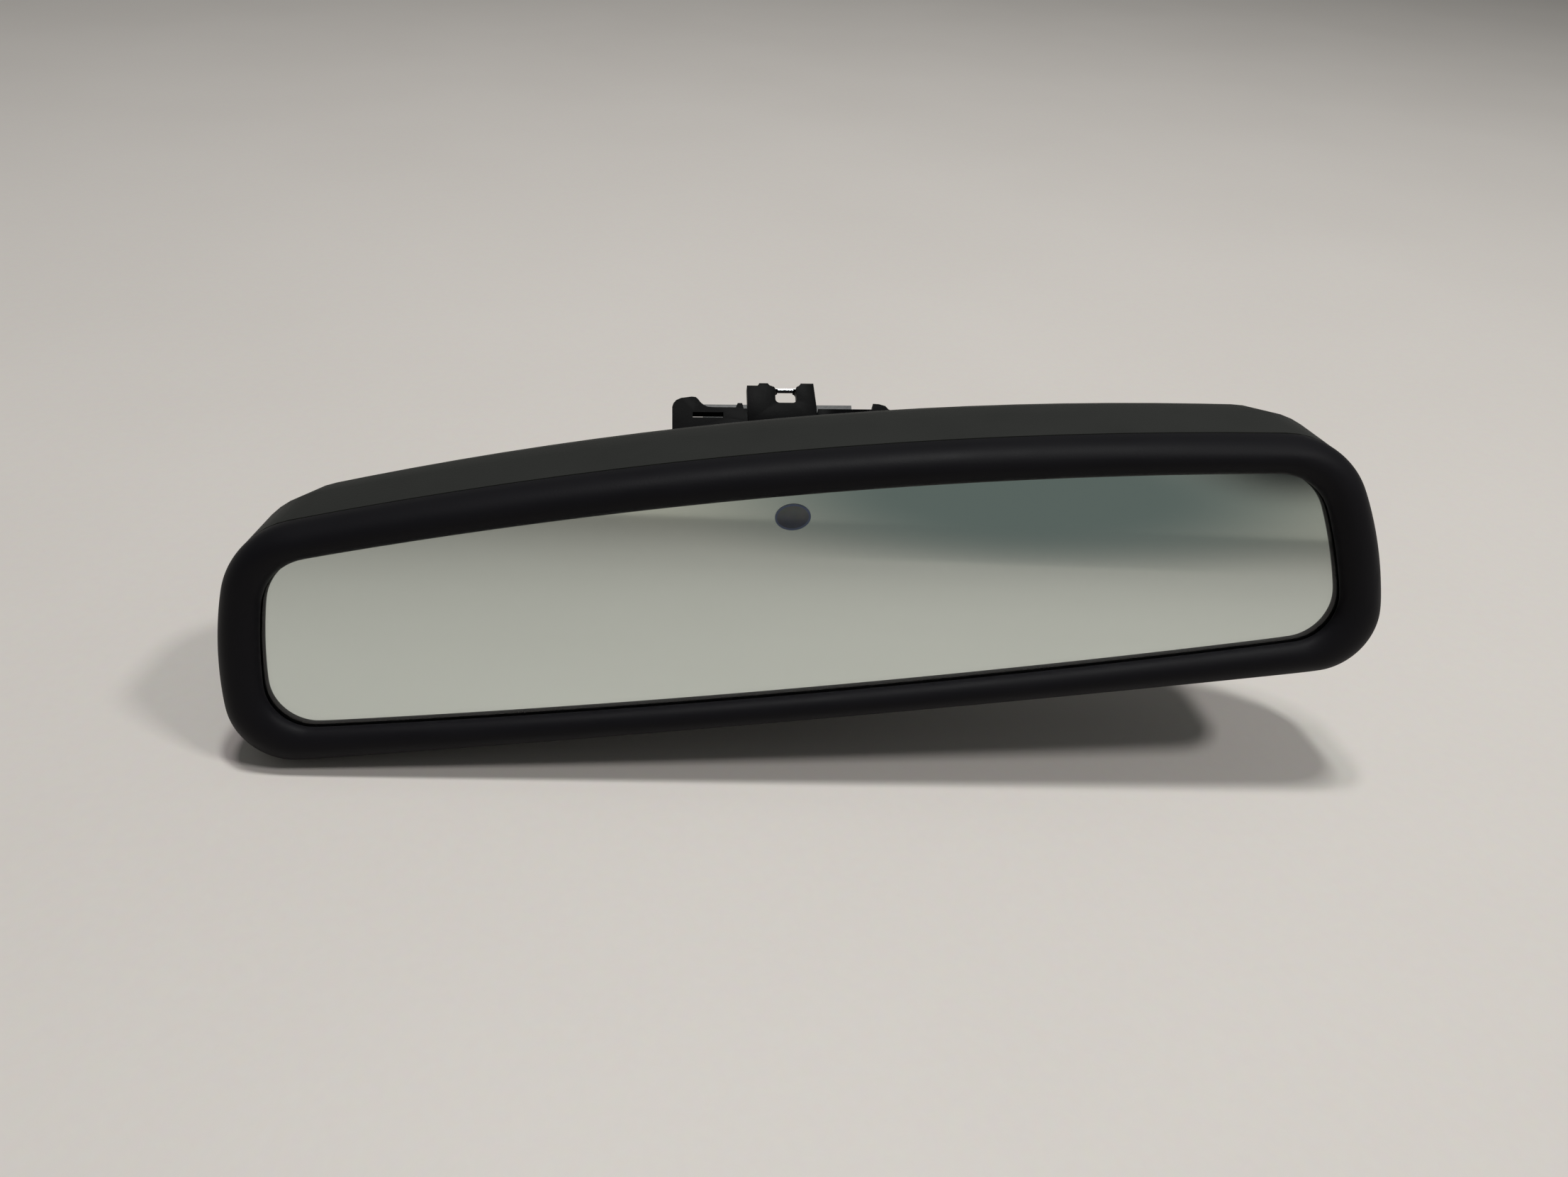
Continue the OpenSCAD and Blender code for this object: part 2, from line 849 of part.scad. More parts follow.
// Upper end wall of the carrier, seen along the windscreen: hooked at both ends
module wing_profile() {
    polygon([
        [-foot_w / 2, frame_floor], [-foot_w / 2, -1.2], [-26.7, -0.2], [-26, 0.7], [-24.8, 1.3],
        [-22.2, 1.7], [-21.2, 1.6], [-20.6, 1], [-20, 0.1], [-19.2, -0.6], [-18.2, -1.1], [-17, -1.2],
        [-11.4, -1.2], [-10.9, 0], [-9.8, 0], [-9.5, -1.2], [-9.5, -3.4],
        [12, -3.4], [13, -2.8], [20, -2.8], [22.6, -1.6], [22.9, 0.1], [24.4, 0], [26, -0.5],
        [foot_w / 2, -1.8], [foot_w / 2, frame_floor]
    ]);
}

module foot_carrier() {
    color([0.09, 0.09, 0.10])
        on_foot()
            difference() {
                union() {
                    difference() {
                        translate([-foot_w / 2, frame_y0, frame_floor])
                            cube([foot_w, foot_len, frame_top - frame_floor]);
                        translate([-foot_w / 2 + frame_wall, frame_y0 + wing_wall, frame_floor + 1.9])
                            cube([foot_w - 2 * frame_wall, foot_len - wing_wall - frame_wall, 20]);
                    }
                    translate([0, frame_y0 + wing_wall, 0])
                        rotate([90, 0, 0])
                            linear_extrude(wing_wall)
                                wing_profile();
                }
                translate([-flange_x - 0.5, flange_y0 - 0.5, frame_floor - 1])
                    cube([2 * flange_x + 1, flange_y1 - flange_y0 + 1, 4]);
                translate([-22, frame_y0 - 1, -4])
                    cube([7.5, wing_wall + 2, 1.4]);
                translate([15, frame_y0 - 1, -5])
                    cube([7, wing_wall + 2, 1.4]);
                for (s = [-1, 1])
                    translate([s * 16, 18, frame_floor - 1])
                        cylinder(r = screw_r + screw_gap, h = 5);
                translate([-8.6, frame_y0 - 1, -5.02])
                    cube([17.6, wing_wall + 2, 10]);
            }
}

module carrier_screws() {
    color([0.62, 0.63, 0.65])
        on_foot()
            for (s = [-1, 1])
                translate([s * 16, 18, frame_floor - head_t - 0.02])
                    screw(pilot_r - 0.02, 6.5, head_r, head_t);
}

latch_t = 2.8;
latch_bar_z = 4.5;

// Latch for the trim cover: two posts with a rounded window between them
module centre_clip() {
    color([0.08, 0.08, 0.09])
        on_foot()
            translate([0, frame_y0 + 3.6, 0])
                rotate([90, 0, 0])
                    linear_extrude(latch_t)
                        difference() {
                            polygon([
                                [-8.4, -5], [-8.4, 5.4], [-5.7, 5.4], [-5.3, 6.1], [-3.2, 6.1],
                                [-2.7, 5.5], [-1.6, 5.1], [-1.3, latch_bar_z], [3.8, latch_bar_z],
                                [4, 5.1], [4.7, 5.5], [5.1, 6.1], [8.3, 6.1], [8.8, -0.6], [8.8, -5]
                            ]);
                            translate([1.25, 2.6])
                                for (sx = [-1, 1])
                                    for (sy = [-1, 1])
                                        translate([sx * 1.6, sy * 0.9])
                                            circle(r = 1.05);
                            translate([-1.4, 1.7])
                                square([5.3, 1.8]);
                            translate([-0.35, 0.65])
                                square([3.2, 3.9]);
                        }
}

// Thin steel bar across the window of the latch
module clip_bar() {
    color([0.30, 0.30, 0.32])
        on_foot()
            translate([-1.28, frame_y0 + 1.4, latch_bar_z + 0.02])
                cube([5.06, 1.6, 0.36]);
}

front_bezel();
front_glass();
ec_gel();
cell_seal();
rear_glass();
upper_bus_clip();
lower_bus_clip();
glass_pad();
carrier_plate();
circuit_board();
board_parts();
glare_light_pipe();
ambient_lens();
connector_shell();
connector_pins();
rear_case();
case_screws();
board_screws();
socket_cup();
socket_ring();
socket_screws();
pressure_spring();
spring_cap();
outer_liner();
inner_liner();
ball_stud();
stud_pin();
arm();
foot_base();
base_screws();
retaining_spring();
spring_screw();
foot_carrier();
carrier_screws();
centre_clip();
clip_bar();
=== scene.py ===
# An auto-dimming interior mirror: a soft black bezel round a silvered glass, a matt case,
# a ball joint and a short arm, and the foot that slides onto a button on the windscreen.
import json
import math

import bpy
from mathutils import Matrix, Vector


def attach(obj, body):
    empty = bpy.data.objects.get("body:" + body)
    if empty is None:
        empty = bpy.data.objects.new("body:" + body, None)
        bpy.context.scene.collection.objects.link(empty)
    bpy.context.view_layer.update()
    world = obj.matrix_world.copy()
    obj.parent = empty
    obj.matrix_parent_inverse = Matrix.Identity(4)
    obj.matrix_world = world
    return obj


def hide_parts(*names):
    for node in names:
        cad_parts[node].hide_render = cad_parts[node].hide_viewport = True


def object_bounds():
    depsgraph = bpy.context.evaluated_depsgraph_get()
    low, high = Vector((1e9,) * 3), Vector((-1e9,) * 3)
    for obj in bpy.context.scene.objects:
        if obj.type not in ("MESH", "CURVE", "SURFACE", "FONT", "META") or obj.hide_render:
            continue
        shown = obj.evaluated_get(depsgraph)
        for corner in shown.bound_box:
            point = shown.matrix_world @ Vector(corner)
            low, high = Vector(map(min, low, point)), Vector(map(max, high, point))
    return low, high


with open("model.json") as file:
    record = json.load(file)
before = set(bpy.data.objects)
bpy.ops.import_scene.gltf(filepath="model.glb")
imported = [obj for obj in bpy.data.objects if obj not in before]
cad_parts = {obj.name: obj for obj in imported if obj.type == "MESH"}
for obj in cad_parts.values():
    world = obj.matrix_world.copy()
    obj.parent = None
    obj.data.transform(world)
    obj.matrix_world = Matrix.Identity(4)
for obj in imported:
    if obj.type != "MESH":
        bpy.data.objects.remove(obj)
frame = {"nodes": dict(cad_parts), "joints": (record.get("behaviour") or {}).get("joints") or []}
cad_low, cad_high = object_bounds()


# ---- the eye ----
# It stands in front of the glass and a little above it, and looks down onto the table.

scene = bpy.context.scene
scene.view_settings.view_transform = "Standard"

eye_at = Vector((-0.028354, -0.281193, 0.15354))
eye_dips = math.radians(34.822)
eye_turns = math.radians(-6.863)
eye_leans = math.radians(3.516)
bpy.ops.object.camera_add(location=eye_at)
eye = bpy.context.object
eye.rotation_euler = (
    Matrix.Rotation(eye_turns, 3, "Z")
    @ Matrix.Rotation(math.pi / 2 - eye_dips, 3, "X")
    @ Matrix.Rotation(eye_leans, 3, "Z")
).to_euler()
eye.data.lens = 27.03
eye.data.sensor_width = 36
eye.data.clip_start = 0.01
scene.camera = eye


# ---- table top ----
# A pale laminate with a very fine mottle. It reaches far past the view, and the lowest
# point of the mirror touches it.


def laid_out(name):
    """A new material with no nodes yet, and a function that adds a node with its inputs set."""
    made = bpy.data.materials.new(name)
    made.use_nodes = True
    tree = made.node_tree
    tree.nodes.clear()

    def node(kind, **inputs):
        new = tree.nodes.new(kind)
        for key, value in inputs.items():
            socket = new.inputs[key.replace("_", " ")]
            if isinstance(value, bpy.types.NodeSocket):
                tree.links.new(value, socket)
            else:
                socket.default_value = value
        return new

    def mixed(share, one, other, how="MIX"):
        """A colour between two others; share, one and other are numbers, colours or sockets."""
        new = tree.nodes.new("ShaderNodeMix")
        new.data_type = "RGBA"
        new.blend_type = how
        for number, value in ((0, share), (6, one), (7, other)):
            if isinstance(value, bpy.types.NodeSocket):
                tree.links.new(value, new.inputs[number])
            elif number:
                new.inputs[number].default_value = (*value, 1)
            else:
                new.inputs[number].default_value = value
        return new.outputs[2]

    return made, node, mixed


laminate, node, mixed = laid_out("pale laminate")
place = node("ShaderNodeTexCoord").outputs["Object"]
mottle = node("ShaderNodeTexNoise", Vector=place, Scale=7, Detail=4)
speckle = node("ShaderNodeTexNoise", Vector=place, Scale=420, Detail=3)
tone = mixed(mottle.outputs["Fac"], (0.630, 0.592, 0.562), (0.680, 0.642, 0.612))
tone = mixed(0.05, tone, speckle.outputs["Color"], "OVERLAY")
grain = node("ShaderNodeTexNoise", Vector=place, Scale=900, Detail=2)
relief = node("ShaderNodeBump", Height=grain.outputs["Fac"], Strength=0.08, Distance=0.0002)
coat = node("ShaderNodeBsdfPrincipled", Base_Color=tone, Roughness=0.55,
            Normal=relief.outputs["Normal"])
node("ShaderNodeOutputMaterial", Surface=coat.outputs["BSDF"])

table_z = cad_low.z
bpy.ops.object.select_all(action="DESELECT")
bpy.ops.mesh.primitive_plane_add(size=7, location=(0, 1.0, table_z))
table = bpy.context.object
table.name = "table_top"
table.data.materials.append(laminate)


# ---- light of the room ----
# The main panel hangs high to the right and a little in front, so the dark band under the bezel
# stops short of its right end. Two tinted ones hang overhead, and the walls fill the rest.


def panel(name, at, wide, high, watts, tint):
    """A soft rectangular light that faces the mirror."""
    bpy.ops.object.light_add(type="AREA", location=at)
    lamp = bpy.context.object
    lamp.name = name
    lamp.data.shape = "RECTANGLE"
    lamp.data.size = wide
    lamp.data.size_y = high
    lamp.data.energy = watts
    lamp.data.color = tint
    lamp.rotation_euler = (-Vector(at)).to_track_quat("-Z", "Y").to_euler()


panel("main_panel", (0.90, -0.46, 1.26), 0.24, 0.16, 8.6, (1.0, 0.985, 0.965))
panel("green_panel", (0.10, 0.06, 1.40), 0.20, 0.10, 7.6, (0.95, 1.0, 0.955))
panel("rose_panel", (-0.10, 0.12, 1.40), 0.20, 0.10, 4.6, (1.0, 0.935, 0.96))

room = bpy.data.worlds.new("room")
scene.world = room
room.use_nodes = True
walls = room.node_tree.nodes["Background"]
walls.inputs["Color"].default_value = (0.98, 1.0, 0.96, 1)
walls.inputs["Strength"].default_value = 0.14


def hanging(name, at, wide, high, colour, glow):
    """A soft-edged patch of the room that only the glass shows; glow is its light."""
    made, node, mixed = laid_out(name)
    place = node("ShaderNodeTexCoord").outputs["Object"]
    spot = node("ShaderNodeMapping", Vector=place, Location=(-at[0], -at[1], -at[2]))
    spot.vector_type = "POINT"
    span = node("ShaderNodeMapping", Vector=spot.outputs["Vector"], Scale=(2 / wide, 1, 2 / high))
    ball = node("ShaderNodeTexGradient", Vector=span.outputs["Vector"])
    ball.gradient_type = "SPHERICAL"
    cover = node("ShaderNodeMapRange", Value=ball.outputs["Fac"])
    cover.interpolation_type = "SMOOTHSTEP"
    cover.inputs["From Max"].default_value = 0.7
    lit = node("ShaderNodeEmission", Color=(*colour, 1), Strength=glow)
    clear = node("ShaderNodeBsdfTransparent")
    seen = node("ShaderNodeMixShader")
    made.node_tree.links.new(cover.outputs["Result"], seen.inputs[0])
    made.node_tree.links.new(clear.outputs["BSDF"], seen.inputs[1])
    made.node_tree.links.new(lit.outputs["Emission"], seen.inputs[2])
    node("ShaderNodeOutputMaterial", Surface=seen.outputs["Shader"])
    bpy.ops.object.select_all(action="DESELECT")
    bpy.ops.mesh.primitive_plane_add(size=1, location=at, rotation=(math.pi / 2, 0, 0))
    card = bpy.context.object
    card.name = name
    card.scale = (wide, high, 1)
    bpy.ops.object.transform_apply(location=True, rotation=True, scale=True)
    card.data.materials.append(made)
    card.visible_camera = False
    card.visible_diffuse = False
    card.visible_shadow = False


hanging("far_wall", (0.6, -2.2, 0.1), 12.0, 3.0, (0.42, 0.40, 0.35), 1.0)
hanging("dim_corner", (0.20, -0.95, 0.035), 0.80, 0.19, (0.13, 0.155, 0.148), 1.0)
hanging("dark_doorway", (0.43, -0.90, 0.085), 0.26, 0.12, (0.020, 0.022, 0.022), 1.0)


# ---- bezel ----
# The ring round the glass is one moulding in black plastic with a soft-touch coat: a rounded
# front, a thin lip over the glass, and a flange behind that snaps into the rear case.


def alone(piece):
    """Deselects everything else and makes this piece the active one."""
    bpy.ops.object.select_all(action="DESELECT")
    piece.select_set(True)
    bpy.context.view_layer.objects.active = piece


def copy_of(cad_name, name):
    """A new piece with the CAD node's own shape, its loose triangles joined."""
    alone(frame["nodes"][cad_name])
    bpy.ops.object.duplicate()
    piece = bpy.context.object
    piece.name = name
    piece.parent = None
    for key in list(piece.keys()):
        del piece[key]
    piece.data.materials.clear()
    bpy.ops.object.mode_set(mode="EDIT")
    bpy.ops.mesh.select_all(action="SELECT")
    bpy.ops.mesh.remove_doubles(threshold=1e-6)
    bpy.ops.object.mode_set(mode="OBJECT")
    return piece


def finish_with(piece, kind, **settings):
    """Adds a modifier with these settings and applies it."""
    alone(piece)
    step = piece.modifiers.new(kind.lower(), kind)
    for key, value in settings.items():
        setattr(step, key, value)
    bpy.ops.object.modifier_apply(modifier=step.name)


def fit_in(piece, finish, body, slot, *stands_for):
    """Gives a piece its finish, hangs it on the body it rides on, and hides the CAD nodes it stands for.
    """
    piece.data.materials.append(finish)
    if stands_for:
        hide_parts(*stands_for)
    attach(piece, body)


def moulded_skin(name, dark, light, rough, grain_scale, grain_height, shine=0.5):
    """Moulded plastic: two close tones in soft patches, and a fine spark-eroded grain."""
    made, node, mixed = laid_out(name)
    place = node("ShaderNodeTexCoord").outputs["Object"]
    patch = node("ShaderNodeTexNoise", Vector=place, Scale=45, Detail=5, Roughness=0.6)
    rub = node("ShaderNodeMapRange", Value=patch.outputs["Fac"], From_Min=0.3, From_Max=0.7,
               To_Min=rough - 0.05, To_Max=rough + 0.05)
    pores = node("ShaderNodeTexNoise", Vector=place, Scale=grain_scale, Detail=3, Roughness=0.7)
    relief = node("ShaderNodeBump", Height=pores.outputs["Fac"], Strength=0.5, Distance=grain_height)
    coat = node("ShaderNodeBsdfPrincipled", Base_Color=mixed(patch.outputs["Fac"], dark, light),
                Roughness=rub.outputs["Result"], Normal=relief.outputs["Normal"])
    coat.inputs["Specular IOR Level"].default_value = shine
    node("ShaderNodeOutputMaterial", Surface=coat.outputs["BSDF"])
    return made


bezel_coat = moulded_skin("soft black coat", (0.0040, 0.0038, 0.0052), (0.0066, 0.0062, 0.0080),
                          0.55, 1700, 0.00005, shine=0.10)
bezel = copy_of("front_bezel", "bezel_ring")
bpy.ops.object.mode_set(mode="EDIT")
bpy.ops.mesh.select_all(action="SELECT")
bpy.ops.mesh.tris_convert_to_quads(face_threshold=math.pi, shape_threshold=math.pi)
bpy.ops.object.mode_set(mode="OBJECT")
finish_with(bezel, "SUBSURF", levels=2, render_levels=2)
bpy.ops.object.shade_smooth_by_angle(angle=math.radians(40))
fit_in(bezel, bezel_coat, "head", "soft_black", "front_bezel")


# ---- glass cell ----
# Two glass plates with a thin gel between them that darkens in glare. The mirror coating lies
# behind the front plate, and an epoxy bead runs round its edge, hidden by the bezel's lip.

# The head as it lies: turned, leaned back and rolled about the centre of its ball. In the head's
# own space x runs across, y back from the face of the glass, and z up.
head_turn = math.radians(-3.9)
head_lean = math.radians(-15)
head_roll = math.radians(-7.25)
ball_at = Vector(frame["joints"][0]["pos_m"])
ball_in_head = Vector((0, 0.025, 0.004))
head_rest = (
    Matrix.Translation(ball_at)
    @ Matrix.Rotation(head_turn, 4, "Z")
    @ Matrix.Rotation(head_lean, 4, "X")
    @ Matrix.Rotation(head_roll, 4, "Y")
    @ Matrix.Translation(-ball_in_head)
)


def settle(piece, place):
    """Puts a piece where place says, and takes that place into its mesh."""
    piece.matrix_world = place @ piece.matrix_world
    alone(piece)
    bpy.ops.object.transform_apply(location=True, rotation=True, scale=True)


def dress(finish, *cad_names):
    """Gives CAD nodes that stay a better finish."""
    for cad_name in cad_names:
        slots = frame["nodes"][cad_name].data.materials
        slots.clear()
        slots.append(finish)


float_glass, node, mixed = laid_out("clear float glass")
place = node("ShaderNodeTexCoord").outputs["Object"]
haze = node("ShaderNodeTexNoise", Vector=place, Scale=30, Detail=6, Roughness=0.7)
film = node("ShaderNodeMapRange", Value=haze.outputs["Fac"],
            From_Min=0.45, From_Max=0.8, To_Min=0.0, To_Max=0.018)
coat = node("ShaderNodeBsdfPrincipled", Base_Color=(0.95, 0.985, 0.965, 1),
            Roughness=film.outputs["Result"], IOR=1.5)
coat.inputs["Transmission Weight"].default_value = 1.0
node("ShaderNodeOutputMaterial", Surface=coat.outputs["BSDF"])
dress(float_glass, "front_glass", "rear_glass", "ec_gel")

silvering, node, mixed = laid_out("mirror coating")
place = node("ShaderNodeTexCoord").outputs["Object"]
veil = node("ShaderNodeTexNoise", Vector=place, Scale=9, Detail=3)
wave = node("ShaderNodeTexNoise", Vector=place, Scale=14, Detail=1)
ripple = node("ShaderNodeBump", Height=wave.outputs["Fac"], Strength=0.06, Distance=0.0004)
tone = mixed(veil.outputs["Fac"], (0.735, 0.765, 0.74), (0.775, 0.80, 0.775))
coat = node("ShaderNodeBsdfPrincipled", Base_Color=tone, Roughness=0.035, Metallic=1.0,
            Normal=ripple.outputs["Normal"])
node("ShaderNodeOutputMaterial", Surface=coat.outputs["BSDF"])

# The coating is the front plate's own outline, pressed thin and laid just inside the plate's back.
coating_press = 0.03
coating_depth = 0.00155
coating = copy_of("front_glass", "mirror_coating")
settle(coating, head_rest.inverted())
bpy.ops.object.mode_set(mode="EDIT")
bpy.ops.mesh.select_all(action="SELECT")
bpy.ops.transform.resize(value=(0.9995, coating_press, 0.998), center_override=(0, coating_depth, 0))
bpy.ops.object.mode_set(mode="OBJECT")
settle(coating, head_rest)
fit_in(coating, silvering, "head", "mirror_glass", "ec_gel")

# The glare sensor looks out through an oval that the coating leaves clear: a dark glossy lens
# with a thin bluish edge. A painted highlight makes the lens paler grey towards its top.
window_at = Vector((0.0004, 0.00125, 0.0177))
window_half = (0.0037, 0.0028)
window_t = 0.0001
window_edge = 0.00042
bpy.ops.object.select_all(action="DESELECT")
bpy.ops.mesh.primitive_circle_add(
    vertices=72, radius=window_half[0], fill_type="NGON", rotation=(math.pi / 2, 0, 0)
)
window = bpy.context.object
window.name = "sensor_window"
bpy.ops.object.transform_apply(location=True, rotation=True, scale=True)
bpy.ops.object.mode_set(mode="EDIT")
bpy.ops.mesh.select_all(action="SELECT")
bpy.ops.transform.resize(value=(1, 1, window_half[1] / window_half[0]), center_override=(0, 0, 0))
bpy.ops.mesh.extrude_region_move(TRANSFORM_OT_translate={"value": (0, -window_t, 0)})
bpy.ops.mesh.inset(thickness=window_edge)
bpy.ops.transform.translate(value=(0, window_t * 0.4, 0))
bpy.ops.mesh.select_all(action="SELECT")
bpy.ops.mesh.normals_make_consistent(inside=False)
bpy.ops.object.mode_set(mode="OBJECT")
settle(window, head_rest @ Matrix.Translation(window_at))
lens_dark, node, mixed = laid_out("sensor lens")
place = node("ShaderNodeTexCoord").outputs["Object"]
middle = head_rest @ window_at
height = node("ShaderNodeSeparateXYZ", Vector=place).outputs["Z"]
# Painted highlight: the lens colour rises from dark blue at its bottom to pale grey at its top.
painted_highlight_rise = node("ShaderNodeMapRange", Value=height,
             From_Min=middle.z - 0.0016, From_Max=middle.z + 0.0020)
painted_highlight_rise.interpolation_type = "SMOOTHSTEP"
cloud = node("ShaderNodeTexNoise", Vector=place, Scale=600, Detail=3)
lens_tone_with_painted_highlight = mixed(painted_highlight_rise.outputs["Result"], (0.020, 0.026, 0.060), (0.17, 0.18, 0.19))
lens_tone_with_painted_highlight = mixed(0.25, lens_tone_with_painted_highlight, cloud.outputs["Color"], "OVERLAY")
coat = node("ShaderNodeBsdfPrincipled", Base_Color=lens_tone_with_painted_highlight, Roughness=0.22)
node("ShaderNodeOutputMaterial", Surface=coat.outputs["BSDF"])
lens_edge, node, mixed = laid_out("sensor lens edge")
place = node("ShaderNodeTexCoord").outputs["Object"]
cloud = node("ShaderNodeTexNoise", Vector=place, Scale=900, Detail=2)
tone = mixed(cloud.outputs["Fac"], (0.06, 0.08, 0.16), (0.10, 0.13, 0.24))
coat = node("ShaderNodeBsdfPrincipled", Base_Color=tone, Roughness=0.3, Metallic=0.5)
node("ShaderNodeOutputMaterial", Surface=coat.outputs["BSDF"])
fit_in(window, lens_dark, "head", "clear_plastic")
window.data.materials.append(lens_edge)
face_out = (head_rest.to_3x3() @ Vector((0, -1, 0))).normalized()
for face in window.data.polygons:
    inner = (face.center - middle).length < window_half[1] * 0.5 and face.normal.dot(face_out) > 0.9
    face.material_index = 0 if inner else 1

epoxy = moulded_skin("epoxy bead", (0.030, 0.030, 0.027), (0.045, 0.045, 0.040), 0.45, 900, 0.00003)
dress(epoxy, "cell_seal")


# ---- rear case ----
# A deep moulded shell in grey-black plastic with a dull spark-eroded grain. It snaps onto the
# bezel's flange, and its back is open round the neck, the wiring socket and the rear sensor.

case_coat = moulded_skin("grained case plastic", (0.0095, 0.0102, 0.0090), (0.0150, 0.0158, 0.0142),
                         0.62, 1400, 0.00008, shine=0.32)
case = copy_of("rear_case", "case_shell")
bpy.ops.object.shade_smooth_by_angle(angle=math.radians(30))
fit_in(case, case_coat, "head", "case_grey", "rear_case")


# ---- what lies inside the case ----
# The glass is taped to a moulded carrier plate. The dimming circuit is screwed to its back, and
# the carrier is screwed to bosses of the case. Copper strips feed the coatings of the glass.

black_plastic = moulded_skin("black moulding", (0.012, 0.012, 0.013), (0.019, 0.019, 0.020),
                             0.48, 1100, 0.00005)
dress(black_plastic, "carrier_plate")

foam, node, mixed = laid_out("foam tape")
place = node("ShaderNodeTexCoord").outputs["Object"]
cells = node("ShaderNodeTexVoronoi", Vector=place, Scale=1400)
relief = node("ShaderNodeBump", Height=cells.outputs["Distance"], Strength=0.6, Distance=0.0002)
tone = mixed(cells.outputs["Distance"], (0.020, 0.020, 0.020), (0.05, 0.05, 0.05))
coat = node("ShaderNodeBsdfPrincipled", Base_Color=tone, Roughness=0.85,
            Normal=relief.outputs["Normal"])
node("ShaderNodeOutputMaterial", Surface=coat.outputs["BSDF"])
dress(foam, "glass_pad")

solder_mask, node, mixed = laid_out("circuit board")
place = node("ShaderNodeTexCoord").outputs["Object"]
tracks = node("ShaderNodeTexBrick", Vector=place, Scale=260)
tracks.inputs["Color1"].default_value = (0.012, 0.085, 0.035, 1)
tracks.inputs["Color2"].default_value = (0.016, 0.105, 0.045, 1)
tracks.inputs["Mortar"].default_value = (0.03, 0.17, 0.075, 1)
tracks.inputs["Mortar Size"].default_value = 0.03
relief = node("ShaderNodeBump", Height=tracks.outputs["Fac"], Strength=0.3, Distance=0.00003)
coat = node("ShaderNodeBsdfPrincipled", Base_Color=tracks.outputs["Color"], Roughness=0.28,
            Normal=relief.outputs["Normal"])
node("ShaderNodeOutputMaterial", Surface=coat.outputs["BSDF"])
dress(solder_mask, "circuit_board")
chip_epoxy = moulded_skin("chip epoxy", (0.014, 0.014, 0.015), (0.024, 0.024, 0.025), 0.4, 1600, 0.00003)
dress(chip_epoxy, "board_parts")

clear_plastic, node, mixed = laid_out("clear lens plastic")
place = node("ShaderNodeTexCoord").outputs["Object"]
haze = node("ShaderNodeTexNoise", Vector=place, Scale=300, Detail=3)
film = node("ShaderNodeMapRange", Value=haze.outputs["Fac"], To_Min=0.04, To_Max=0.16)
coat = node("ShaderNodeBsdfPrincipled", Base_Color=(0.80, 0.84, 0.88, 1),
            Roughness=film.outputs["Result"], IOR=1.49)
coat.inputs["Transmission Weight"].default_value = 0.75
node("ShaderNodeOutputMaterial", Surface=coat.outputs["BSDF"])
dress(clear_plastic, "glare_light_pipe", "ambient_lens")


def bare_metal(name, dull, bright, rough, scratch=900):
    """Plated or drawn metal: brighter and duller patches, and fine marks from handling."""
    made, node, mixed = laid_out(name)
    place = node("ShaderNodeTexCoord").outputs["Object"]
    cloud = node("ShaderNodeTexNoise", Vector=place, Scale=160, Detail=5, Roughness=0.65)
    drawn = node("ShaderNodeMapping", Vector=place, Scale=(1, 0.15, 0.15))
    marks = node("ShaderNodeTexNoise", Vector=drawn.outputs["Vector"], Scale=scratch, Detail=3)
    rub = node("ShaderNodeMapRange", Value=cloud.outputs["Fac"], From_Min=0.3, From_Max=0.7,
               To_Min=rough - 0.08, To_Max=rough + 0.10)
    relief = node("ShaderNodeBump", Height=marks.outputs["Fac"], Strength=0.25, Distance=0.00004)
    tone = mixed(cloud.outputs["Fac"], dull, bright)
    coat = node("ShaderNodeBsdfPrincipled", Base_Color=tone, Metallic=1.0,
                Roughness=rub.outputs["Result"], Normal=relief.outputs["Normal"])
    node("ShaderNodeOutputMaterial", Surface=coat.outputs["BSDF"])
    return made


zinc_plate = bare_metal("zinc plated steel", (0.42, 0.43, 0.45), (0.58, 0.59, 0.60), 0.34)
spring_steel = bare_metal("spring steel", (0.36, 0.37, 0.39), (0.50, 0.51, 0.53), 0.28, 1400)
copper = bare_metal("copper strip", (0.62, 0.34, 0.19), (0.78, 0.46, 0.28), 0.30)
dress(copper, "upper_bus_clip", "lower_bus_clip")
dress(zinc_plate, "case_screws", "board_screws")


# ---- wiring socket ----
# A ten-way socket stands up from the circuit board and out through the back of the case: a thin
# walled black housing with a latch notch, and two rows of plated pins.


def moulded_from(cad_name, name, radius, rounding=2, sharp=25):
    """A piece with the CAD node's shape, its flat faces whole and its sharp edges rounded."""
    piece = copy_of(cad_name, name)
    bpy.ops.object.mode_set(mode="EDIT")
    bpy.ops.mesh.select_all(action="SELECT")
    bpy.ops.mesh.dissolve_limited(angle_limit=math.radians(1))
    bpy.ops.object.mode_set(mode="OBJECT")
    finish_with(piece, "BEVEL", width=radius, segments=rounding, limit_method="ANGLE",
                angle_limit=math.radians(sharp), miter_outer="MITER_ARC", use_clamp_overlap=True)
    finish_with(piece, "TRIANGULATE")
    bpy.ops.object.shade_smooth_by_angle(angle=math.radians(14))
    return piece


housing = moulded_from("connector_shell", "socket_housing", 0.00018)
fit_in(housing, black_plastic, "head", "black_plastic", "connector_shell")
dress(bare_metal("plated pin", (0.66, 0.52, 0.25), (0.85, 0.70, 0.38), 0.22), "connector_pins")


# ---- ball joint ----
# The ball turns in two thin acetal liners inside a cup and a ring of glass-filled nylon, which
# three screws pull together. A disc spring behind a screwed cap keeps the joint stiff.

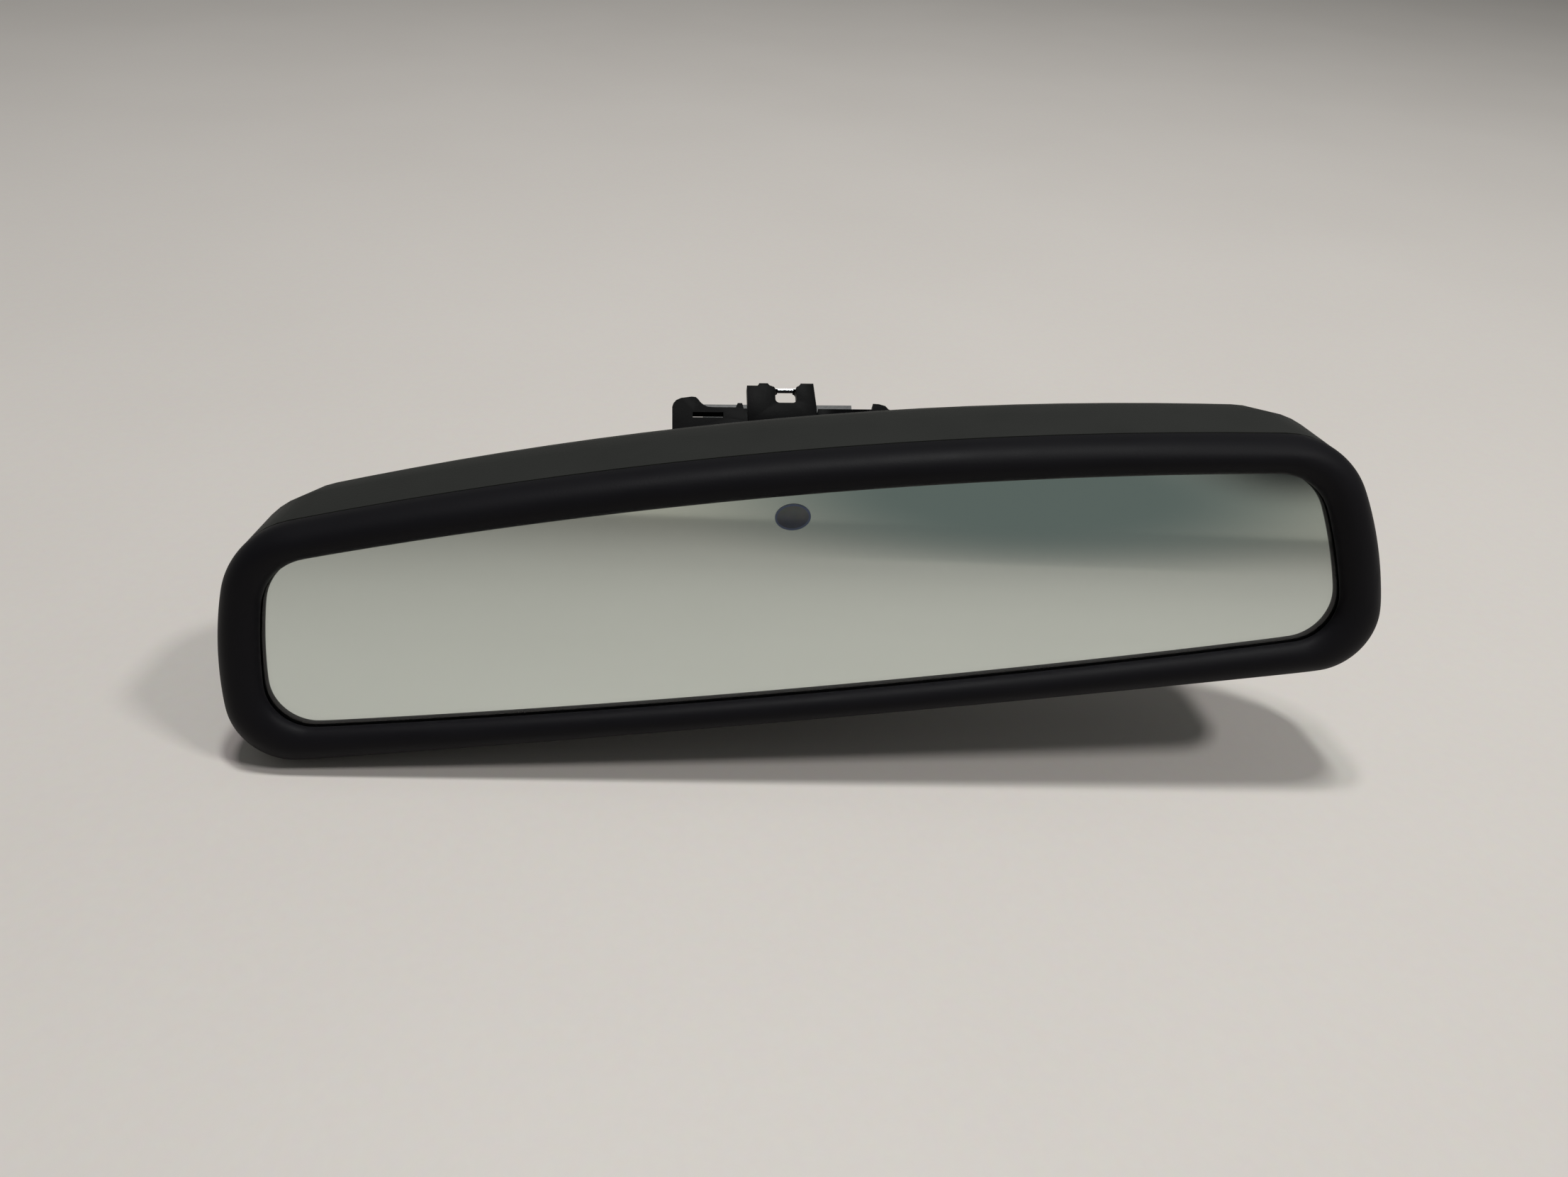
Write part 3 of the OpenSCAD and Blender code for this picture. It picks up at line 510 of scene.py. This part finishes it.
nylon = moulded_skin("glass filled nylon", (0.040, 0.041, 0.043), (0.075, 0.076, 0.078),
                     0.55, 700, 0.0001)
acetal = moulded_skin("natural acetal", (0.66, 0.65, 0.60), (0.74, 0.73, 0.68), 0.36, 1300, 0.00003)
ring = moulded_from("socket_ring", "joint_ring", 0.00025, sharp=30)
fit_in(ring, nylon, "head", "glass_filled", "socket_ring")
dress(nylon, "socket_cup", "spring_cap")
dress(acetal, "outer_liner", "inner_liner")
dress(spring_steel, "pressure_spring")
dress(zinc_plate, "socket_screws", "stud_pin")
dress(bare_metal("turned steel", (0.44, 0.45, 0.46), (0.60, 0.61, 0.62), 0.26, 2000), "ball_stud")


# ---- arm ----
# A short cast arm with a matt black powder coat. The shank of the ball is pressed into its end
# and pinned, and its flange is screwed under the base of the foot.

powder_coat = moulded_skin("powder coat", (0.008, 0.008, 0.009), (0.013, 0.013, 0.014),
                           0.46, 420, 0.00012, shine=0.4)
cast_arm = moulded_from("arm", "cast_arm", 0.0004, rounding=3, sharp=30)
fit_in(cast_arm, powder_coat, "foot", "black_metal", "arm")


# ---- base of the foot ----
# A black-coated zinc casting. Its channel slides over the button on the windscreen, and a flat
# spring in the floor of the channel locks behind the button.

black_zinc = moulded_skin("coated zinc casting", (0.026, 0.026, 0.028), (0.048, 0.048, 0.050),
                          0.45, 520, 0.00012)
base = moulded_from("foot_base", "channel_base", 0.0003)
fit_in(base, black_zinc, "foot", "coated_zinc", "foot_base")
dress(zinc_plate, "base_screws", "spring_screw", "carrier_screws")
tongue = moulded_from("retaining_spring", "lock_spring", 0.00008)
fit_in(tongue, spring_steel, "foot", "spring_steel", "retaining_spring")


# ---- carrier of the trim cover ----
# A black moulded tray round the foot. Its upper wall is hooked at both ends, and between them
# stands a latch with two posts, a rounded window and a thin steel bar.

foot_plastic = moulded_skin("foot moulding", (0.0018, 0.0018, 0.0021), (0.0032, 0.0032, 0.0035),
                            0.45, 900, 0.00005, shine=0.03)
tray = moulded_from("foot_carrier", "trim_tray", 0.00028)
fit_in(tray, foot_plastic, "foot", "foot_plastic", "foot_carrier")
latch = moulded_from("centre_clip", "trim_latch", 0.00025, rounding=3)
fit_in(latch, foot_plastic, "foot", "foot_plastic", "centre_clip")
dress(spring_steel, "clip_bar")
